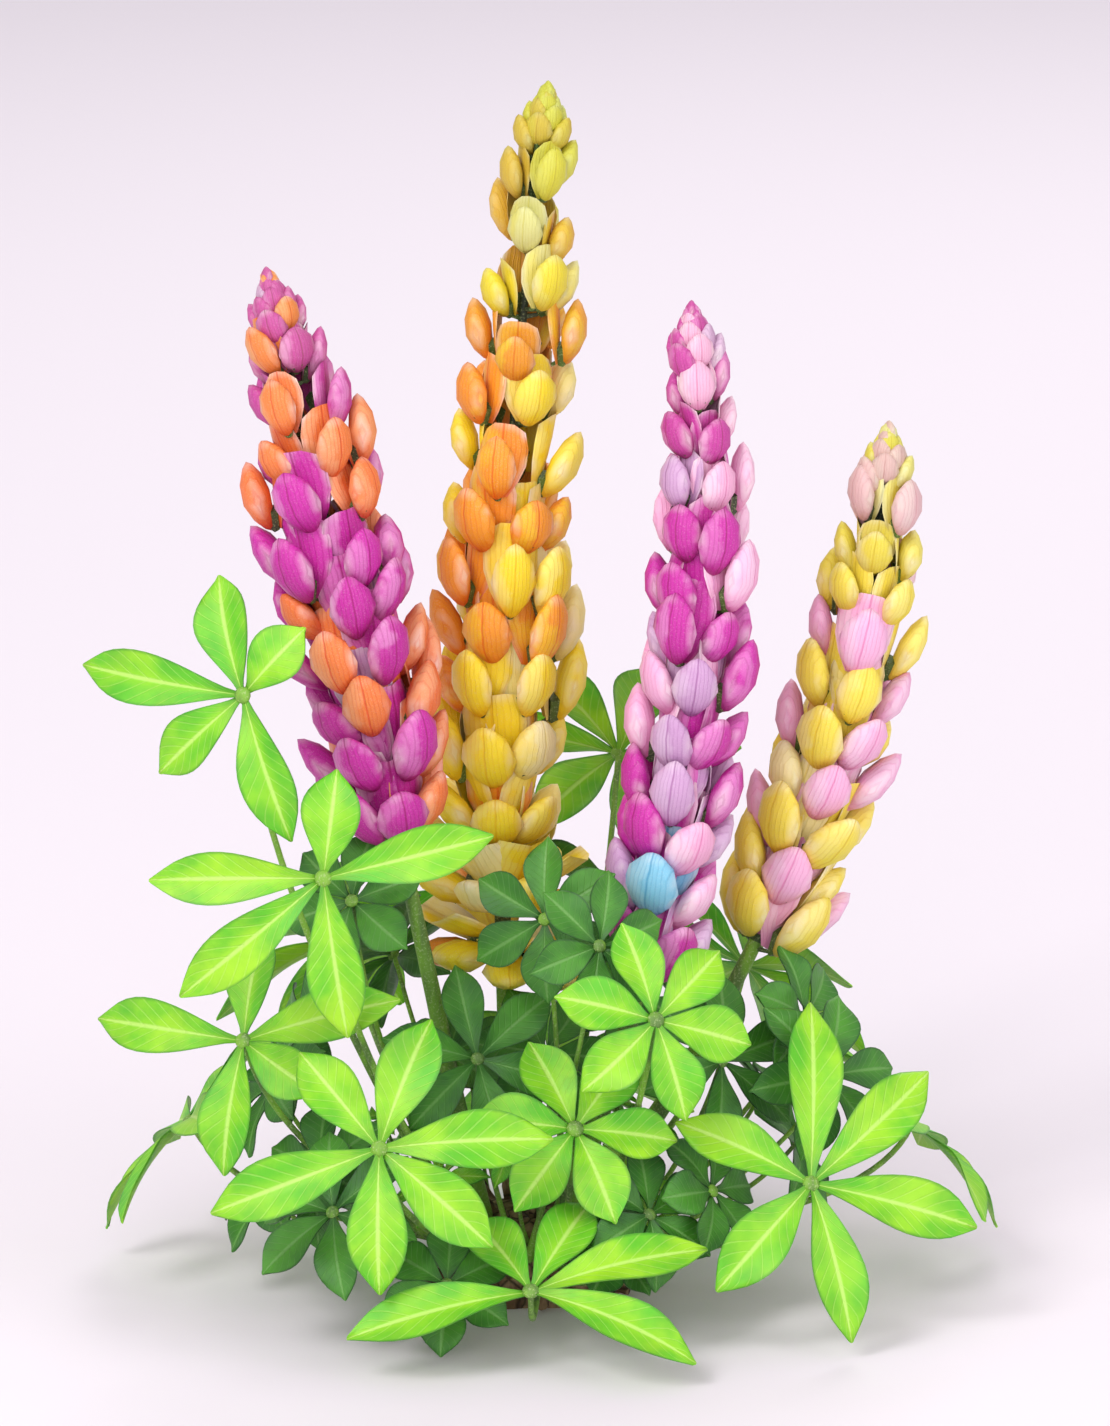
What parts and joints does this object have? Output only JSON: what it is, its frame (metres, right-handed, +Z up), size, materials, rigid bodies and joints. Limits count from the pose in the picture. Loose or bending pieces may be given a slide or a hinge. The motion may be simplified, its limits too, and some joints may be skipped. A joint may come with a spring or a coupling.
{
  "type": "lupin plant",
  "caption": "Garden lupin clump in full flower: upright tapering spikes of pea flowers over palmate leaves, standing on its level-cut woody crown.",
  "frame": {"origin": "middle of the crown's flat underside, where the plant was cut from the ground", "axes": "+Z up the plant, -Y towards the front seen in the picture, +X to the viewer's right"},
  "size_m": [0.4694, 0.383, 0.6201],
  "materials": {
    "crown_bark": "matte",
    "stem_green": "matte",
    "leaf_green": "matte",
    "bud_green": "matte",
    "left_spike_petals": "matte",
    "centre_spike_petals": "matte",
    "right_centre_spike_petals": "matte",
    "right_spike_petals": "matte"
  },
  "bodies": {
    "root": {"crown": "crown_bark", "left_spike_stem": "stem_green", "left_spike_tier_1": "left_spike_petals", "left_spike_tier_2": "left_spike_petals", "left_spike_tier_3": "left_spike_petals", "left_spike_tier_4": "left_spike_petals", "left_spike_tier_5": "left_spike_petals", "left_spike_bud_tip": "bud_green", "centre_spike_stem": "stem_green", "centre_spike_tier_1": "centre_spike_petals", "centre_spike_tier_2": "centre_spike_petals", "centre_spike_tier_3": "centre_spike_petals", "centre_spike_tier_4": "centre_spike_petals", "centre_spike_tier_5": "centre_spike_petals", "centre_spike_tier_6": "centre_spike_petals", "centre_spike_tier_7": "centre_spike_petals", "centre_spike_bud_tip": "bud_green", "right_centre_spike_stem": "stem_green", "right_centre_spike_tier_1": "right_centre_spike_petals", "right_centre_spike_tier_2": "right_centre_spike_petals", "right_centre_spike_tier_3": "right_centre_spike_petals", "right_centre_spike_tier_4": "right_centre_spike_petals", "right_centre_spike_tier_5": "right_centre_spike_petals", "right_centre_spike_tier_6": "right_centre_spike_petals", "right_centre_spike_bud_tip": "bud_green", "right_spike_stem": "stem_green", "right_spike_tier_1": "right_spike_petals", "right_spike_tier_2": "right_spike_petals", "right_spike_tier_3": "right_spike_petals", "right_spike_tier_4": "right_spike_petals", "right_spike_tier_5": "right_spike_petals", "right_spike_bud_tip": "bud_green", "leaf_front_low_petiole": "stem_green", "leaf_front_low_blade": "leaf_green", "leaf_front_left_petiole": "stem_green", "leaf_front_left_blade": "leaf_green", "leaf_left_low_petiole": "stem_green", "leaf_left_low_blade": "leaf_green", "leaf_left_middle_petiole": "stem_green", "leaf_left_middle_blade": "leaf_green", "leaf_left_high_petiole": "stem_green", "leaf_left_high_blade": "leaf_green", "leaf_right_low_petiole": "stem_green", "leaf_right_low_blade": "leaf_green", "leaf_middle_low_petiole": "stem_green", "leaf_middle_low_blade": "leaf_green", "leaf_middle_high_petiole": "stem_green", "leaf_middle_high_blade": "leaf_green", "leaf_right_side_petiole": "stem_green", "leaf_right_side_blade": "leaf_green", "leaf_back_right_petiole": "stem_green", "leaf_back_right_blade": "leaf_green", "leaf_back_low_petiole": "stem_green", "leaf_back_low_blade": "leaf_green", "leaf_back_left_petiole": "stem_green", "leaf_back_left_blade": "leaf_green", "leaf_left_side_petiole": "stem_green", "leaf_left_side_blade": "leaf_green", "leaf_back_high_petiole": "stem_green", "leaf_back_high_blade": "leaf_green"}
  },
  "joints": []
}
